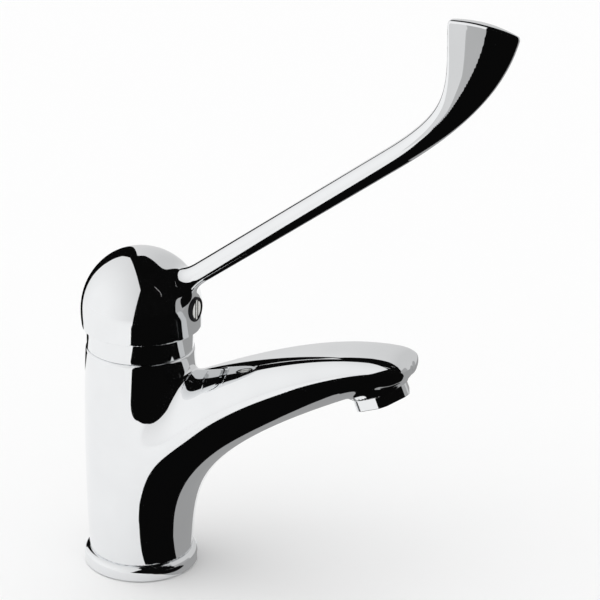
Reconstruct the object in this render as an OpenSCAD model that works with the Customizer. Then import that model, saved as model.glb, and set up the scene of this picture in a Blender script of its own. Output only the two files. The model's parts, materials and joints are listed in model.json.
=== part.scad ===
// Single lever basin tap with a long elbow lever.
// Millimetres, +Z up, origin at the centre of the foot on the deck, spout along +X.

/* [Base] */
// Outer diameter of the base ring
base_d = 50; // [48:0.5:58]
// Radial width of the base ring
ring_w = 5.5; // [5:0.1:7]
// Distance that the base ring stands out from the body
base_step = 2.4; // [1.6:0.1:3.2]
// Height of the base ring
base_h = 6.8; // [5:0.2:9]
// Rounding of the base ring's upper edge
base_round = 1.6; // [0.6:0.1:2.4]
// Thickness of the base gasket
gasket_t = 2; // [1:0.25:3]
// Radial width of the base gasket
gasket_w = 2.6; // [1.6:0.2:3.2]

/* [Body] */
// Height of the body casting
body_h = 101.8; // [98:0.2:112]
// Largest diameter of the column
belly_d = 48.4; // [47.6:0.2:52]
// Height of the largest diameter
belly_z = 66; // [45:1:80]
// Diameter at the top edge
top_d = 46.8; // [46:0.2:48.4]

/* [Spout] */
// Distance from the tap axis to the outlet
reach = 110; // [100:1:125]
// Height of the outlet face above the body's top edge
outlet_rise = 0.9; // [-3:0.1:8]
// Forward tilt of the outlet
outlet_tilt = 23; // [15:1:28]
// Width of the spout at the outlet
spout_w = 26.6; // [26.4:0.2:32]
// Thickness of the spout at its tip
tip_h = 13; // [12:0.1:17]
// Length of the tip beyond the outlet axis
tip_run = 11.2; // [10.5:0.2:16]
// Width of the spout where it leaves the column
root_w = 40; // [34:0.5:42]
// Height of the bend under the spout
under_z = 57; // [48:1:64]
// Bore of the waterway
water_d = 7.2; // [6:0.2:8]

/* [Neck] */
// Outer diameter of the neck ring
neck_d = 45.8; // [45:0.2:46.4]
// Height of the neck ring
neck_h = 11.2; // [10:0.2:11.6]
// Opening in the top of the neck ring
neck_eye_d = 31; // [30:0.5:34]
// Thickness of the neck ring's lip
neck_lip = 2.4; // [1.6:0.2:2.6]

/* [Dome] */
// Diameter of the handle dome
dome_d = 52.6; // [52:0.2:58]
// Height of the dome's lower edge above the body
dome_gap = 9.9; // [9.4:0.1:12]
// Height of the dome's straight side
dome_side = 8.8; // [6:0.2:12]
// Rise of the dome above its straight side
dome_rise = 25; // [23:0.5:30]
// Wall of the dome
dome_wall = 2.9; // [2.2:0.1:3]
// Radius of the ball shape that relieves the dome's rear
relief_r = 30; // [29.8:0.1:31]
// Distance of that ball's centre in front of the axis
relief_x = 5; // [4:0.1:5.2]
// Height of that ball's centre above the dome's lower edge
relief_z = 7; // [5:0.1:8]
// Diameter of the boss that holds the stem
boss_d = 19; // [17:0.5:20]
// Diameter of the indicator plug
plug_d = 10.6; // [9:0.2:11.4]
// Height of the plug above the dome's lower edge
plug_z = 11; // [9.5:0.1:11.5]

/* [Lever] */
// Slope of the arm
arm_angle = 37; // [30:0.5:42]
// Height on the tap axis, above the dome's lower edge, that the arm points to
arm_foot = 6.7; // [5:0.1:9]
// Diameter of the arm beside the dome
arm_d = 8.8; // [8:0.1:11]
// Diameter of the arm at the elbow
elbow_d = 9.5; // [8.5:0.1:11.5]
// Distance of the elbow from the tap axis
elbow_x = 112; // [95:1:130]
// Rise of the blade above the elbow
blade_h = 58.5; // [50:0.5:66]
// Distance from the elbow to the blade's rear corner
blade_out = 21.2; // [19:0.5:28]
// Width of the blade at its end
blade_w = 29.2; // [22:0.2:32]
// Fall of the blade's end edge towards the front
blade_fall = 6.8; // [2:0.2:14]
// Thickness of the blade at its rear edge
blade_t = 8.8; // [7:0.1:10]
// Share of that thickness lost at the front edge
blade_taper = 0.68; // [0.4:0.02:0.75]

/* [Cartridge] */
// Diameter of the cartridge
cart_d = 35; // [34:0.5:36]
// Depth of the cartridge chamber below the body's top edge
chamber_h = 35.8; // [35.4:0.1:36.2]
// Height of the lever pivot above the body's top edge
pivot_rise = 2.2; // [1.8:0.1:2.6]
// Diameter of the stem guide
guide_d = 21.9; // [21:0.1:22.4]
// Diameter of the pivot pin
pin_d = 4; // [3:0.2:4.4]
// Side of the square stem
stem_w = 7.6; // [7:0.1:8]
// Diameter of the stem's eye round the pin
eye_d = 10; // [9:0.2:10.4]
// Length of the stem below the pivot
stem_low = 11; // [10.4:0.1:11.4]
// Diameter of the stem's ball
ball_d = 6; // [5.2:0.1:6.4]
// Diameter of the moving disc
disc_d = 25; // [23:0.2:25.6]
// Thickness of the moving disc
disc_t = 4; // [3:0.1:4.2]
// Diameter of the fixed disc
fixed_d = 29; // [28.6:0.2:30.6]
// Thickness of the fixed disc
fixed_t = 5; // [4:0.1:5.2]
// Distance of the inlets from the mid-plane
inlet_y = 8.5; // [8.3:0.1:9]
// Distance of the inlets in front of the axis
inlet_x = 4.5; // [4:0.1:5]
// Distance of the outlet port behind the axis
port_x = 7; // [6.6:0.1:7.4]
// Bore of the inlet ports
inlet_d = 6; // [5:0.1:6.2]

/* [Fixings] */
// Bore of the inlet hose threads
hose_d = 8.9; // [8.5:0.1:9.2]
// Depth of the inlet hose threads
hose_len = 14; // [10:0.5:18]
// Bore of the stud thread
stud_d = 6.6; // [5:0.1:8.4]
// Depth of the stud thread
stud_len = 18; // [12:0.5:24]
// Distance of the stud behind the axis
stud_x = 11; // [10:0.5:13]
// Diameter of the grub screw
grub_d = 5.9; // [4.9:0.1:6.2]
// Length of the grub screw
grub_len = 6; // [5:0.5:8]

/* [Aerator] */
// Diameter of the aerator collar
aer_d = 24.6; // [23.6:0.1:25.6]
// Height of the aerator collar
aer_h = 5; // [4:0.1:7]
// Width across the spanner flats
aer_flats = 22.9; // [22.6:0.1:23.6]
// Diameter of the aerator thread
aer_thread = 21.8; // [21.4:0.1:22]
// Length of the aerator thread
aer_thread_len = 6.6; // [5.5:0.1:7]
// Bore of the aerator
aer_bore = 18.6; // [17.6:0.2:19]
// Thickness of the aerator washer
washer_t = 1.6; // [1:0.1:2]
// Thickness of the aerator screen
screen_t = 1; // [0.8:0.1:1.4]

/* [Fits] */
// Radial clearance of running fits
run_fit = 0.05; // [0.02:0.01:0.1]
// Gap between pieces that are seated together
seat_fit = 0.06; // [0.02:0.01:0.1]
// Free gap round moving pieces
free_gap = 0.4; // [0.3:0.05:0.6]

/* [Hidden] */
$fn = 64;
steps = 14;
sides = 36;

base_r = base_d / 2;
foot_r = base_r - base_step;
belly_r = belly_d / 2;
top_r = top_d / 2;
spigot_r = base_r - ring_w;
neck_r = neck_d / 2;
dome_r = dome_d / 2;
cart_r = cart_d / 2;
guide_r = guide_d / 2;

// Levels up the tap
outlet_z = body_h + outlet_rise;
floor_z = body_h - chamber_h;
pivot_z = body_h + pivot_rise;
neck_top = body_h + neck_h;
dome_low = body_h + dome_gap;
dome_mid = dome_low + dome_side;
dome_top = dome_mid + dome_rise;
house_top = neck_top - neck_lip - free_gap - 0.2;
nut_deep = 9;
nut_rise = 5.4;
nut_low = body_h - nut_deep;
nut_top = body_h + nut_rise;
nut_r = cart_r + 1.9;
nut_slot_w = 5;
nut_slot_h = 2;
house_neck_r = guide_r + 3;
shoulder_z = nut_low;
base_plate_t = 7;
gasket_z = floor_z + base_plate_t;
fixed_z = gasket_z + 1;
disc_z = fixed_z + fixed_t + seat_fit;
carrier_z = disc_z + disc_t;
rail_z = carrier_z + 5;
rail_top = pivot_z - stem_low + 1;
guide_low = rail_z + free_gap;
guide_shoulder = shoulder_z - 1.4;
guide_top = house_top - 0.4;
house_in_r = cart_r - 1.5;
stem_cover = 11.5;
stem_top = dome_top - stem_cover;
boss_low = dome_low + 5.2;
plug_h = dome_low + plug_z;
lift_max = 22;
disc_travel = stem_low * lift_max * PI / 180;
disc_off = disc_travel / 2;
rail_w = ball_d + 4;
rail_front = ball_d / 2 + free_gap + 1.8;
rail_rear = rail_front + 1;
pocket_r = 7.5;
outlet_d = 8;
duct_drop = 22;
duct_dip = 16.7;
inlet_seal_d = inlet_d + 3.4;
outlet_seal_d = outlet_d + 3.4;
seal_h = 1.5;
seal_w = 1.3;
peg_d = 3;
peg_y = 12;

// Outlet frame: a point on the outlet face and its two directions
out_p = [reach, outlet_z];
out_e = [cos(outlet_tilt), sin(outlet_tilt)];
seat_r = aer_thread / 2 + seat_fit;
seat_len = aer_thread_len + washer_t + seat_fit;
collar_r = aer_d / 2;
boss_r = collar_r + 0.5;

// Guide curves of the spout, in the mid-plane
under_run = 13;
under_pull = 42.5;
crown_drop = 11.8;
crown_pull = [21.8, 4.4];
tip_pull = [36, -2.2];
under_end = out_p - under_run * out_e;
tip_low = out_p + tip_run * out_e;
tip_up = tip_low + tip_h * [sin(14), cos(14)];
under_dir = [cos(outlet_tilt + 4), sin(outlet_tilt + 4)];
under_curve = [[belly_r - 7.6, base_h + 1.2], [belly_r + 0.6, under_z],
               under_end - under_pull * under_dir, under_end];
crown_curve = [[belly_r / 2, body_h - crown_drop], [belly_r, body_h] + crown_pull, tip_up - tip_pull, tip_up];
under_share = 0.8;

// Guide curves of the lever, in the mid-plane
arm_e = [cos(arm_angle), sin(arm_angle)];
arm_n = [-sin(arm_angle), cos(arm_angle)];
arm_p = [0, dome_low + arm_foot];
elbow_p = arm_p + elbow_x / cos(arm_angle) * arm_e;
arm_in = dome_r * 0.55 / cos(arm_angle);
arm_skin = dome_r * 1.02 / cos(arm_angle);
arm_len = elbow_x / cos(arm_angle);
rear_end = elbow_p + [blade_out, blade_h];
front_end = rear_end + blade_w * [cos(blade_fall), -sin(blade_fall)];
rear_start = elbow_p + elbow_d / 2 * arm_n;
front_start = elbow_p - elbow_d / 2 * arm_n;
rear_curve = [rear_start, rear_start + 0.62 * blade_h * arm_e, rear_end - [-0.6, 0.42 * blade_h], rear_end];
front_curve = [front_start, front_start + 0.55 * blade_h * arm_e,
               front_end - [5.4, 0.37 * blade_h], front_end];
end_out = [cos(90 - blade_fall), sin(90 - blade_fall)];

function bez(p, t) = pow(1 - t, 3) * p[0] + 3 * t * pow(1 - t, 2) * p[1]
                   + 3 * t * t * (1 - t) * p[2] + pow(t, 3) * p[3];
function side_of(v) = v < 0 ? -1 : 1;
function sup(v, n) = side_of(v) * pow(abs(v), 2 / n);

// One closed section between two mid-plane points, with its half width, squareness and taper
function section(a, b, half, n, taper) =
    [for (j = [0 : sides - 1])
        let (u = sup(cos(360 * j / sides), n),
             w = sup(sin(360 * j / sides), n) * half * (1 - taper * (1 - u) / 2),
             p = (a + b) / 2 + (a - b) / 2 * u)
        [p[0], w, p[1]]];

function middle(r) = [for (k = [0 : 2]) [for (p = r) p[k]] * [for (p = r) 1] / len(r)];

module loft(rings) {
    m = len(rings[0]);
    last = len(rings) - 1;
    skin = [for (r = rings) for (p = r) p];
    points = concat(skin, [middle(rings[0]), middle(rings[last])]);
    walls = [for (i = [0 : last - 1]) for (j = [0 : m - 1])
                let (k = (j + 1) % m)
                each [[i * m + j, i * m + k, (i + 1) * m + j],
                      [i * m + k, (i + 1) * m + k, (i + 1) * m + j]]];
    caps = [for (j = [0 : m - 1])
                let (k = (j + 1) % m)
                each [[len(skin), k, j],
                      [len(skin) + 1, last * m + j, last * m + k]]];
    polyhedron(points = points, faces = concat(walls, caps), convexity = 8);
}

// Body

function column_r(z) = z < belly_z
    ? belly_r - (belly_r - foot_r) * pow((belly_z - z) / (belly_z - base_h), 2)
    : belly_r - (belly_r - top_r) * pow((z - belly_z) / (body_h - belly_z), 2);

module column() {
    rotate_extrude()
        polygon(concat([[0, 0], [spigot_r, 0], [spigot_r, base_h]],
            [for (i = [0 : steps]) let (z = base_h + (body_h - 0.8 - base_h) * i / steps) [column_r(z), z]],
            [[top_r - 0.8, body_h], [0, body_h]]));
}

function under(s) = s < under_share ? bez(under_curve, s / under_share)
    : under_end + (s - under_share) / (1 - under_share) * (tip_low - under_end);
function spout_half(s) = spout_w / 2 + (root_w - spout_w) / 2 * pow(1 - s, 2.2);
function spout_section(s, keep, out) =
    let (a = bez(crown_curve, s) + out * out_e,
         b = under(s) + out * out_e,
         mid = (a + b) / 2)
    section(mid + keep * (a - mid), mid + keep * (b - mid), keep * spout_half(s), 2.1 + 1.5 * s, 0);

module spout() {
    nose = [[0.97, 0.6], [0.9, 1.2], [0.78, 1.8], [0.6, 2.2]];
    loft(concat([for (i = [0 : steps + 2]) spout_section(i / (steps + 2), 1, 0)],
                [for (e = nose) spout_section(1, e[0], e[1])]));
}

// Places its children on the outlet face, with +Z into the spout
module at_outlet() {
    translate([out_p[0], 0, out_p[1]])
        rotate([0, -outlet_tilt, 0])
            children();
}

module rod(a, b, d) {
    v = b - a;
    translate([a[0], 0, a[1]])
        rotate([0, atan2(v[0], v[1]), 0])
            cylinder(d = d, h = norm(v));
}

module waterways() {
    low = [-port_x, floor_z - duct_drop];
    bend = [reach * 0.545, outlet_z - duct_dip];
    end = out_p + seat_len * [-out_e[1], out_e[0]] - [1, 1.5];
    run = (bend - low) / norm(bend - low);
    fall = (end - bend) / norm(end - bend);
    translate([-port_x, 0, low[1] - 1])
        cylinder(d = outlet_d, h = floor_z - low[1] + 2);
    rod(low - 2 * run, bend + 2 * run, water_d);
    rod(bend - 3 * fall, end, water_d + 0.7);
    for (y = [-inlet_y, inlet_y])
        translate([inlet_x, y, 0]) {
            translate([0, 0, -1])
                cylinder(d = hose_d, h = hose_len + 1);
            cylinder(d = inlet_d, h = floor_z + 1);
        }
}

module body_casting() {
    color("silver")
    difference() {
        union() {
            column();
            spout();
            at_outlet()
                cylinder(r = boss_r, h = seat_len);
        }
        waterways();
        translate([0, 0, floor_z])
            cylinder(r = cart_r + seat_fit, h = body_h);
        translate([0, 0, nut_low - 1.2])
            cylinder(r = nut_r + seat_fit, h = body_h);
        for (y = [-peg_y, peg_y])
            translate([-2, y, floor_z - 3])
                cylinder(d = peg_d + 2 * seat_fit, h = 4);
        at_outlet()
            translate([0, 0, -8])
                cylinder(r = seat_r, h = seat_len + 8);
        translate([-stud_x, 0, -1])
            cylinder(d = stud_d, h = stud_len + 1);
    }
}

module base_ring() {
    groove_r = (spigot_r + base_r) / 2;
    color("gainsboro")
    difference() {
        rotate_extrude()
            polygon(concat([[spigot_r + seat_fit, 0], [base_r, 0]],
                [for (i = [0 : 8]) [base_r - base_round + base_round * cos(90 * i / 8),
                                    base_h - base_round + base_round * sin(90 * i / 8)]],
                [[spigot_r + seat_fit, base_h]]));
        translate([0, 0, -1])
            difference() {
                cylinder(r = groove_r + gasket_w / 2 + seat_fit, h = gasket_t + 1);
                translate([0, 0, -1])
                    cylinder(r = groove_r - gasket_w / 2 - seat_fit, h = gasket_t + 3);
            }
    }
}

module ring(r_in, r_out, h) {
    difference() {
        cylinder(r = r_out, h = h);
        translate([0, 0, -1])
            cylinder(r = r_in, h = h + 2);
    }
}

module base_gasket() {
    groove_r = (spigot_r + base_r) / 2;
    color("dimgray")
        ring(groove_r - gasket_w / 2, groove_r + gasket_w / 2, gasket_t);
}

module neck_ring() {
    bore_r = nut_r + 0.9;
    color("lightgray")
    rotate_extrude()
        polygon([[bore_r, body_h], [neck_r, body_h], [neck_r, neck_top - 1.6], [neck_r - 1.6, neck_top],
                 [neck_eye_d / 2, neck_top], [neck_eye_d / 2, neck_top - neck_lip],
                 [bore_r, neck_top - neck_lip]]);
}

// Cartridge

module cartridge_nut() {
    groove_z = body_h + 1.6;
    color("goldenrod")
    difference() {
        translate([0, 0, nut_low])
            ring(house_neck_r + seat_fit, nut_r, nut_top - nut_low);
        translate([0, 0, groove_z])
            ring(nut_r - 1.2, nut_r + 1, 2.2);
        for (a = [0 : 60 : 300])
            rotate([0, 0, a])
                translate([house_neck_r + 1, -nut_slot_w / 2, nut_top - nut_slot_h])
                    cube([nut_r, nut_slot_w, nut_slot_h + 1]);
    }
}

module neck_o_ring() {
    groove_z = body_h + 1.6;
    color("black")
        translate([0, 0, groove_z + seat_fit])
            ring(nut_r - 1.2 + seat_fit, nut_r + 0.9 - seat_fit, 2.2 - 2 * seat_fit);
}

module cartridge_housing() {
    color("whitesmoke")
    rotate_extrude()
        polygon([[house_in_r, gasket_z], [cart_r, gasket_z], [cart_r, shoulder_z], [house_neck_r, shoulder_z],
                 [house_neck_r, house_top], [guide_r + run_fit, house_top],
                 [guide_r + run_fit, guide_shoulder], [house_in_r, guide_shoulder]]);
}

module ports(z, h, grow) {
    for (y = [-inlet_y, inlet_y])
        translate([inlet_x, y, z])
            cylinder(d = inlet_d + grow, h = h);
    translate([-port_x, 0, z])
        cylinder(d = outlet_d + grow, h = h);
}

module cartridge_base() {
    color("lightsteelblue")
    difference() {
        union() {
            translate([0, 0, floor_z])
                cylinder(r = cart_r, h = base_plate_t);
            for (y = [-peg_y, peg_y])
                translate([-2, y, floor_z - 2.6])
                    cylinder(d = peg_d, h = 3);
        }
        ports(floor_z - 1, base_plate_t + 2, 0);
        for (y = [-inlet_y, inlet_y])
            translate([inlet_x, y, floor_z - 1])
                ring(inlet_seal_d / 2 - seal_w - seat_fit, inlet_seal_d / 2 + seat_fit, seal_h + 1);
        translate([-port_x, 0, floor_z - 1])
            ring(outlet_seal_d / 2 - seal_w - seat_fit, outlet_seal_d / 2 + seat_fit, seal_h + 1);
    }
}

module inlet_seals() {
    color("black")
    for (y = [-inlet_y, inlet_y])
        translate([inlet_x, y, floor_z])
            ring(inlet_seal_d / 2 - seal_w, inlet_seal_d / 2, seal_h);
}

module outlet_seal() {
    color("black")
        translate([-port_x, 0, floor_z])
            ring(outlet_seal_d / 2 - seal_w, outlet_seal_d / 2, seal_h);
}

module disc_gasket() {
    color("dimgray")
    difference() {
        translate([0, 0, gasket_z])
            cylinder(d = fixed_d, h = fixed_z - gasket_z);
        ports(gasket_z - 1, 4, 0.6);
    }
}

module fixed_disc() {
    color("white")
    difference() {
        translate([0, 0, fixed_z])
            cylinder(d = fixed_d, h = fixed_t);
        ports(fixed_z - 1, fixed_t + 2, 0);
    }
}

module lugs(z, h, grow) {
    for (y = [-1, 1])
        translate([-disc_off - 2 - grow, y * (disc_d / 2 - 1.5) - 1.5 - grow, z])
            cube([4 + 2 * grow, 3 + 2 * grow, h]);
}

module moving_disc() {
    color("ivory")
    difference() {
        translate([-disc_off, 0, disc_z])
            cylinder(d = disc_d, h = disc_t);
        translate([-disc_off - 1.9, 0, disc_z - 1])
            cylinder(r = pocket_r, h = disc_t / 2 + 1.4);
        lugs(carrier_z - 1.2, 2, seat_fit);
    }
}

module disc_carrier() {
    color("slategray")
    difference() {
        union() {
            translate([-disc_off, 0, carrier_z])
                cylinder(d = disc_d, h = rail_z - carrier_z);
            intersection() {
                lugs(carrier_z - 1.1, 2, 0);
                translate([-disc_off, 0, carrier_z - 2])
                    cylinder(d = disc_d, h = 4);
            }
            translate([-rail_rear, -rail_w / 2, rail_z - 0.5])
                cube([rail_rear + rail_front, rail_w, rail_top - rail_z + 0.5]);
        }
        translate([0, 0, pivot_z - stem_low - ball_d / 2 - 1])
            cylinder(d = ball_d + 2 * free_gap, h = 2 * stem_low);
    }
}

module stem_guide() {
    slot_w = stem_w + 0.4;
    slot_rear = 7.5;
    slot_front = 8.5;
    color("darkseagreen")
    difference() {
        union() {
            translate([0, 0, guide_low])
                cylinder(r = house_in_r - free_gap - 0.2, h = guide_shoulder - 0.2 - guide_low);
            translate([0, 0, guide_low])
                cylinder(r = guide_r, h = guide_top - guide_low);
        }
        translate([-house_in_r, -rail_w / 2 - 0.1, guide_low - 1])
            cube([2 * house_in_r, rail_w + 0.2, rail_top + free_gap - guide_low + 1]);
        translate([-slot_rear, -slot_w / 2, guide_low])
            cube([slot_rear + slot_front, slot_w, guide_top]);
        translate([0, 0, pivot_z])
            rotate([90, 0, 0])
                cylinder(d = pin_d + 0.04, h = 4 * guide_r, center = true);
    }
}

module pivot_pin() {
    color("gray")
        translate([0, 0, pivot_z])
            rotate([90, 0, 0])
                cylinder(d = pin_d, h = 2 * guide_r - 1.2, center = true);
}

module lever_stem() {
    color("darkgoldenrod")
    difference() {
        union() {
            translate([-stem_w / 2, -stem_w / 2, pivot_z])
                cube([stem_w, stem_w, stem_top - pivot_z]);
            translate([0, 0, pivot_z])
                rotate([90, 0, 0])
                    cylinder(d = eye_d, h = stem_w, center = true);
            translate([0, 0, pivot_z - stem_low])
                cylinder(d = ball_d - 1, h = stem_low);
            translate([0, 0, pivot_z - stem_low])
                sphere(d = ball_d);
        }
        translate([0, 0, pivot_z])
            rotate([90, 0, 0])
                cylinder(d = pin_d + 2 * run_fit, h = 4 * stem_w, center = true);
    }
}

// Handle

module dome_shape(r, low, rise) {
    rotate_extrude()
        polygon(concat([[0, low], [r, low]],
            [for (i = [0 : 20]) [r * cos(90 * i / 20), dome_mid + rise * sin(90 * i / 20)]]));
}

function arm_point(l) = arm_p + l * arm_e;
function arm_half(l) =
    let (k = (l - arm_in) / (arm_len - arm_in),
         flare = pow(max(0, 1 - (l - arm_in) / (1.75 * (arm_skin - arm_in))), 2))
    (arm_d + (elbow_d - arm_d) * k) / 2 + 3.4 * flare;
function arm_section(l) =
    section(arm_point(l) + arm_half(l) * arm_n, arm_point(l) - arm_half(l) * arm_n, arm_half(l), 2.05, 0);
function blade_section(s, keep, out) =
    let (a = bez(rear_curve, s) + out * end_out,
         b = bez(front_curve, s) + out * end_out,
         mid = (a + b) / 2,
         half = elbow_d / 2 + (blade_t - elbow_d) / 2 * s)
    section(mid + keep * (a - mid), mid + keep * (b - mid), half * (0.25 + 0.75 * keep), 2.05 + 0.5 * s,
            blade_taper * s);

module arm_and_blade() {
    tip = [[0.98, 0.7], [0.92, 1.5], [0.82, 2.2], [0.66, 2.8], [0.42, 3.2]];
    loft(concat([for (i = [0 : steps]) arm_section(arm_in + (arm_len - arm_in) * pow(i / (steps + 1), 1.6))],
                [for (i = [0 : steps]) blade_section(i / steps, 1, 0)],
                [for (e = tip) blade_section(1, e[0], e[1])]));
}

module along_x(x, z, d, h) {
    translate([x, 0, z])
        rotate([0, 90, 0])
            cylinder(d = d, h = h);
}

module lever_handle() {
    in_r = dome_r - dome_wall;
    plug_seat = dome_r - 2;
    color("lightslategray")
    difference() {
        intersection() {
            union() {
                difference() {
                    dome_shape(dome_r, dome_low, dome_rise);
                    dome_shape(in_r, dome_low - 1, dome_rise - dome_wall);
                }
                translate([0, 0, boss_low])
                    cylinder(d = boss_d, h = dome_top - dome_wall / 2 - boss_low);
                arm_and_blade();
            }
            union() {
                translate([relief_x, 0, dome_low + relief_z])
                    sphere(r = relief_r);
                translate([0, -2 * dome_r, dome_low])
                    cube([4 * reach, 4 * dome_r, 2 * dome_top]);
            }
        }
        translate([-stem_w / 2 - seat_fit, -stem_w / 2 - seat_fit, boss_low - 1])
            cube([stem_w + 2 * seat_fit, stem_w + 2 * seat_fit, stem_top - boss_low + 1.5]);
        along_x(0, plug_h, grub_d + 2 * seat_fit, 2 * dome_r);
        along_x(plug_seat, plug_h, plug_d + 2 * seat_fit, dome_r);
    }
}

module grub_screw() {
    color("dimgray")
    difference() {
        along_x(stem_w / 2 + seat_fit, plug_h, grub_d, grub_len);
        translate([stem_w / 2 + grub_len - 2, 0, plug_h])
            rotate([0, 90, 0])
                cylinder(d = grub_d * 0.55, h = 4, $fn = 6);
    }
}

module indicator_plug() {
    color("dimgray")
    union() {
        along_x(dome_r - 2, plug_h, plug_d, 2.6);
        along_x(dome_r - dome_wall - 2, plug_h, grub_d, dome_wall + 1);
    }
}

// Aerator

module aerator_housing() {
    color("silver")
    at_outlet()
    difference() {
        union() {
            translate([0, 0, -aer_h])
                intersection() {
                    cylinder(r = collar_r, h = aer_h);
                    rotate([0, 0, 23])
                        cylinder(d = aer_flats / cos(30), h = aer_h, $fn = 6);
                }
            cylinder(d = aer_thread, h = aer_thread_len);
        }
        translate([0, 0, 1 - aer_h])
            cylinder(d = aer_bore, h = aer_h + aer_thread_len);
        translate([0, 0, -aer_h - 1])
            cylinder(d = aer_bore - 1.6, h = 3);
    }
}

module aerator_washer() {
    color("black")
    at_outlet()
        translate([0, 0, aer_thread_len])
            ring(aer_bore / 2 - 1, aer_thread / 2, washer_t);
}

module aerator_screen() {
    grid = 1.6;
    color("lightgray")
    at_outlet()
        translate([0, 0, 1 - aer_h])
            difference() {
                cylinder(d = aer_bore - 2 * seat_fit, h = screen_t);
                for (x = [-4 : 4], y = [-4 : 4])
                    if (norm([x, y]) * grid < aer_bore / 2 - 2.2)
                        translate([x * grid - 0.5, y * grid - 0.5, -1])
                            cube([1, 1, screen_t + 2]);
            }
}

module aerator_insert() {
    low = 1 - aer_h + screen_t;
    jet_d = 1.8;
    dish = 2;
    color("powderblue")
    at_outlet()
        difference() {
            translate([0, 0, low])
                cylinder(d = aer_bore - 2 * seat_fit, h = aer_thread_len - low - seat_fit);
            translate([0, 0, low - 1])
                cylinder(d = aer_bore - 4, h = 4);
            for (a = [0 : 45 : 315])
                rotate([0, 0, a])
                    translate([aer_bore / 2 - 4.2, 0, low])
                        cylinder(d = jet_d, h = aer_h + aer_thread_len);
            translate([0, 0, aer_thread_len - dish])
                cylinder(d = aer_bore - 3, h = 2 * dish);
        }
}

body_casting();
base_ring();
base_gasket();
neck_ring();
neck_o_ring();
cartridge_nut();
cartridge_housing();
cartridge_base();
inlet_seals();
outlet_seal();
disc_gasket();
fixed_disc();
moving_disc();
disc_carrier();
stem_guide();
pivot_pin();
lever_stem();
lever_handle();
grub_screw();
indicator_plug();
aerator_housing();
aerator_washer();
aerator_insert();
aerator_screen();
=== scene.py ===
import json
import math

import bmesh
import bpy
import numpy as np
import openvdb
from mathutils import Matrix, Vector

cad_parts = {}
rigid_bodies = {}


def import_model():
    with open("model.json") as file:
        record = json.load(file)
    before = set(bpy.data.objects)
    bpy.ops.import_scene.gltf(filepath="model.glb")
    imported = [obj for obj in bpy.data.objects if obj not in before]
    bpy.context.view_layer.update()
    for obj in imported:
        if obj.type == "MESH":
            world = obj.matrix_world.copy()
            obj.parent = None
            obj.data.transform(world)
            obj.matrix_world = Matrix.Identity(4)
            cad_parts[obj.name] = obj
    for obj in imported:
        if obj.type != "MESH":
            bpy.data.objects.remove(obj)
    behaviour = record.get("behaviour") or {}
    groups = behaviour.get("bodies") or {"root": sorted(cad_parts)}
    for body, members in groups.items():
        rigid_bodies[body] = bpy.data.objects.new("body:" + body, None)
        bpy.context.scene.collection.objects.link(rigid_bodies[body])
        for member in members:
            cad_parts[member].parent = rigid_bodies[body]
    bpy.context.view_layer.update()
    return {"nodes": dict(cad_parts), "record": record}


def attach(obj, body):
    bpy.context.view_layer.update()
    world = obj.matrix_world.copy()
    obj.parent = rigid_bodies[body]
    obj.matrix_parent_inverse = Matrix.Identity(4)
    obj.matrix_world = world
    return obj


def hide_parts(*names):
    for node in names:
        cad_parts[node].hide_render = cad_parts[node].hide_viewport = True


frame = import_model()
mm = 0.001  # pieces and cards are drawn in millimetres
tiny = 1e-9  # keeps divisions safe
print("frame loaded:", len(frame["nodes"]), "nodes")


# small helpers

def smoothMin(a, b, k):
    h = np.maximum(k - np.abs(a - b), 0) / k
    return np.minimum(a, b) - h * h * h * k / 6


def smoothMax(a, b, k):
    return -smoothMin(-a, -b, k)


def rise(low, high, v):
    t = np.clip((v - low) / (high - low), 0, 1)
    return t * t * (3 - 2 * t)


def curveAt(curve, t):
    s = 1 - t
    shares = (s * s * s, 3 * t * s * s, 3 * t * t * s, t * t * t)
    return [sum(w * p[k] for w, p in zip(shares, curve)) for k in (0, 1)]


def direction(degrees):
    return np.array([math.cos(math.radians(degrees)), math.sin(math.radians(degrees))])


# section lines run from bottom(s) to top(s) in the mid-plane; this finds the one through each point
def sectionThrough(x, z, top, bottom, halvings=26):
    low, high = np.zeros(np.broadcast(x, z).shape), np.ones(np.broadcast(x, z).shape)
    for _ in range(halvings):
        s = (low + high) / 2
        a, b = top(s), bottom(s)
        ahead = (x - b[0]) * (a[1] - b[1]) - (z - b[1]) * (a[0] - b[0]) > 0
        low, high = np.where(ahead, s, low), np.where(ahead, high, s)
    return (low + high) / 2


# place of a point on its section line: share u from -1 at b to 1 at a, and the line's half length
def placeOnSection(x, z, a, b):
    half = np.hypot(a[0] - b[0], a[1] - b[1]) / 2
    px, pz = x - (a[0] + b[0]) / 2, z - (a[1] + b[1]) / 2
    return (px * (a[0] - b[0]) + pz * (a[1] - b[1])) / (2 * half * half), half


# how far a point lies past the line through a and b
def pastLine(x, z, a, b):
    length = math.hypot(a[0] - b[0], a[1] - b[1])
    return ((x - b[0]) * (a[1] - b[1]) - (z - b[1]) * (a[0] - b[0])) / length


# distance from a section that is an ellipse at power 2 and squarer above it
def roundedSection(u, w, halfU, halfW, power):
    spread = (np.abs(u) ** power + np.abs(w) ** power) ** (1 / power) + tiny
    reach = np.hypot(u * halfU, w * halfW) / spread
    return reach * (spread - 1)


def slopeOf(field, p, apart=0.02):
    g = np.empty_like(p)
    for k in range(3):
        d = np.zeros(3)
        d[k] = apart
        g[:, k] = (field(*(p + d).T) - field(*(p - d).T)) / (2 * apart)
    return g


# steps along the slope until each point lies on the surface
def settleOn(field, p, rounds, longestStep=0.4, flattest=0.05):
    for _ in range(rounds):
        g = slopeOf(field, p)
        move = field(*p.T)[:, None] * g / np.maximum((g * g).sum(1), flattest)[:, None]
        p = p - np.clip(move, -longestStep, longestStep)
    return p


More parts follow.
